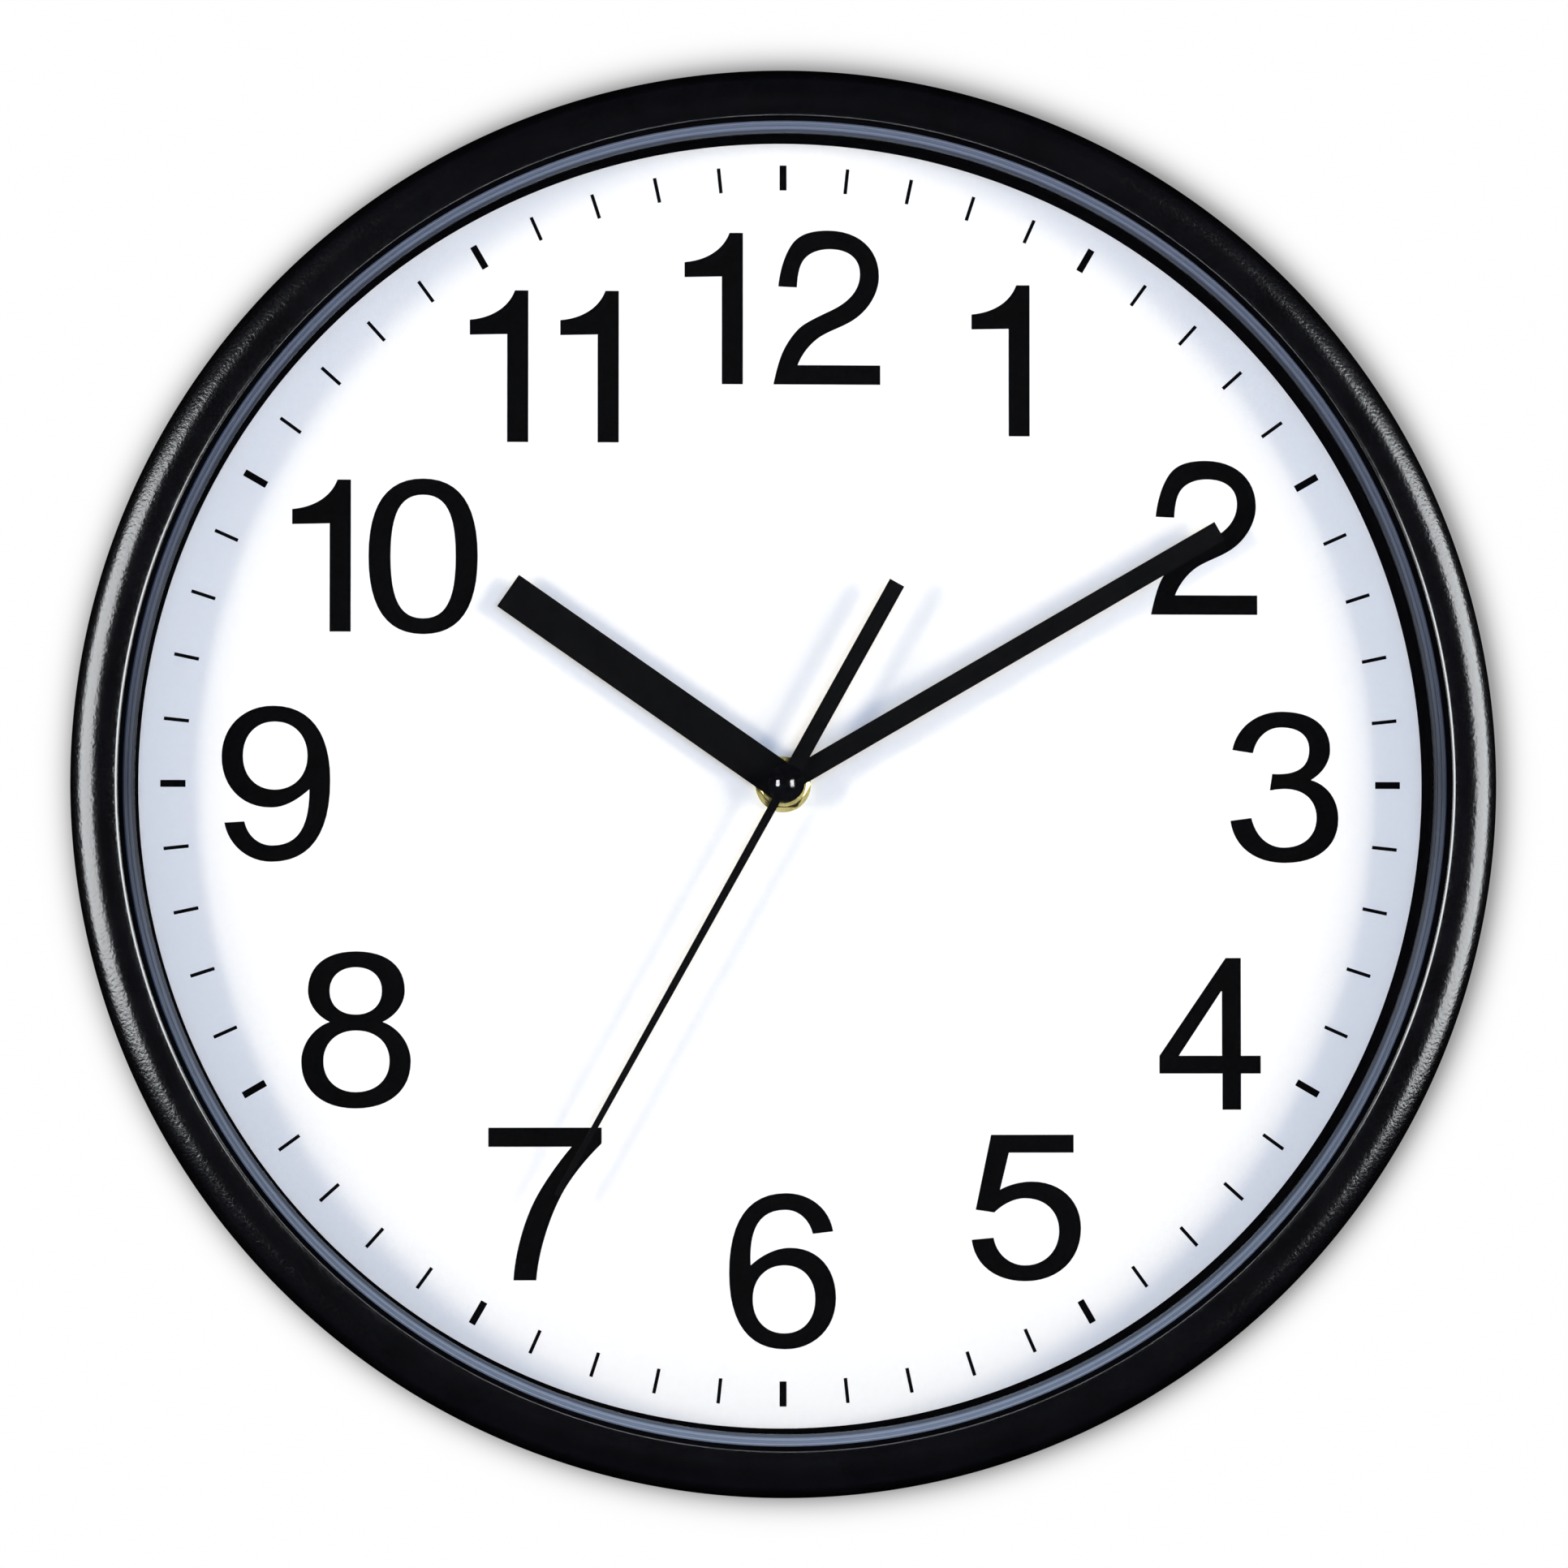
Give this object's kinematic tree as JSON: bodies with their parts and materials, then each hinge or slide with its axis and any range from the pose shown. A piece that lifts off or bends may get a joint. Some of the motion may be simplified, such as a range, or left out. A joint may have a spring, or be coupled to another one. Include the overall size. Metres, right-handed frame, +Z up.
{
  "type": "wall clock",
  "caption": "Round battery wall clock with a rounded black frame, flat glass, white dial and straight hands.",
  "frame": {"origin": "where the hands' axis meets the wall plane, at the centre of the frame's rear rim", "axes": "-Y from the wall towards the viewer, along the hands' axis; +Z up, towards twelve; +X to the right as seen from the front"},
  "size_m": [0.305, 0.042, 0.305],
  "materials": {
    "frame_plastic": "black, finely textured bead with a polished inner lip",
    "clear_glass": "clear, flat, polished",
    "black_plastic": "black, semi-matt",
    "dial_white": "white, satin, with printed black numerals and ticks",
    "back_plastic": "black, moulded, matt",
    "zinc_steel": "bright zinc plate",
    "brass": "turned brass",
    "rubber": "matt black rubber",
    "hand_black": "thin sheet, painted black",
    "magnet": "dark sintered ferrite",
    "soft_iron": "stamped soft iron",
    "nylon_white": "natural acetal",
    "copper_wire": "enamelled copper wire",
    "board_green": "green resin board",
    "resin_black": "glossy black resin",
    "can_steel": "bright nickel plate",
    "battery_sleeve": "printed plastic sleeve"
  },
  "bodies": {
    "case": {"frame": "frame_plastic", "glass": "clear_glass", "spacer_ring": "black_plastic", "dial": "dial_white", "back_plate": "back_plastic", "back_plate_screws": "zinc_steel", "hanger_plate": "zinc_steel", "hanger_screws": "zinc_steel", "movement_case": "black_plastic", "movement_cover": "black_plastic", "train_plate": "nylon_white", "threaded_bush": "brass", "gasket": "rubber", "bush_washer": "brass", "hex_nut": "brass", "stator": "soft_iron", "coil_core": "soft_iron", "coil_bobbin": "nylon_white", "coil_winding": "copper_wire", "stator_screws": "zinc_steel", "circuit_board": "board_green", "quartz_crystal": "can_steel", "chip_blob": "resin_black", "contact_positive": "can_steel", "contact_negative": "can_steel"},
    "battery": {"battery_jacket": "battery_sleeve", "battery_can": "can_steel", "battery_negative_cap": "can_steel"},
    "rotor": {"rotor_magnet": "magnet", "rotor_pinion": "nylon_white"},
    "intermediate": {"intermediate_wheel": "nylon_white"},
    "seconds": {"second_wheel": "nylon_white", "second_arbor": "zinc_steel", "second_hand": "hand_black", "centre_cap": "resin_black"},
    "third": {"third_wheel": "nylon_white"},
    "minute_drive": {"minute_wheel": "nylon_white"},
    "minutes": {"minute_arbor": "brass", "clutch_washer": "zinc_steel", "minute_hand": "hand_black"},
    "motion": {"motion_wheel": "nylon_white"},
    "hours": {"hour_wheel": "nylon_white", "hour_hand": "hand_black"},
    "knob": {"setting_knob": "black_plastic", "setting_pinion": "nylon_white"}
  },
  "joints": [
    {"name": "second_spin", "type": "hinge", "parent": "case", "child": "seconds", "pos_m": [0, 0, 0], "axis": [0, 1, 0], "continuous": true},
    {"name": "third_spin", "type": "hinge", "parent": "case", "child": "third", "pos_m": [0.0054, 0, 0.00935], "axis": [0, 1, 0], "continuous": true},
    {"name": "minute_wheel_spin", "type": "hinge", "parent": "case", "child": "minute_drive", "pos_m": [0, 0, 0], "axis": [0, 1, 0], "continuous": true},
    {"name": "intermediate_spin", "type": "hinge", "parent": "case", "child": "intermediate", "pos_m": [-0.01043, 0, 0.0028], "axis": [0, 1, 0], "continuous": true},
    {"name": "rotor_spin", "type": "hinge", "parent": "case", "child": "rotor", "pos_m": [-0.01463, 0, 0.01007], "axis": [0, 1, 0], "continuous": true},
    {"name": "minute_spin", "type": "hinge", "parent": "case", "child": "minutes", "pos_m": [0, 0, 0], "axis": [0, 1, 0], "continuous": true},
    {"name": "motion_spin", "type": "hinge", "parent": "case", "child": "motion", "pos_m": [0.00789, 0, -0.00287], "axis": [0, 1, 0], "continuous": true},
    {"name": "hour_spin", "type": "hinge", "parent": "case", "child": "hours", "pos_m": [0, 0, 0], "axis": [0, 1, 0], "continuous": true},
    {"name": "knob_spin", "type": "hinge", "parent": "case", "child": "knob", "pos_m": [0.0172, 0, -0.00123], "axis": [0, 1, 0], "continuous": true},
    {"name": "battery_slide", "type": "slide", "parent": "case", "child": "battery", "axis": [0, 1, 0], "range_m": [0, 0.02]}
  ],
  "couplings": [
    {"joint": "third_spin", "follows": "second_spin", "ratio": -0.125},
    {"joint": "minute_wheel_spin", "follows": "second_spin", "ratio": 0.016667},
    {"joint": "intermediate_spin", "follows": "second_spin", "ratio": -5},
    {"joint": "rotor_spin", "follows": "second_spin", "ratio": 30},
    {"joint": "motion_spin", "follows": "minute_spin", "ratio": -0.33333},
    {"joint": "hour_spin", "follows": "minute_spin", "ratio": 0.083333},
    {"joint": "knob_spin", "follows": "minute_spin", "ratio": 0.66667}
  ]
}
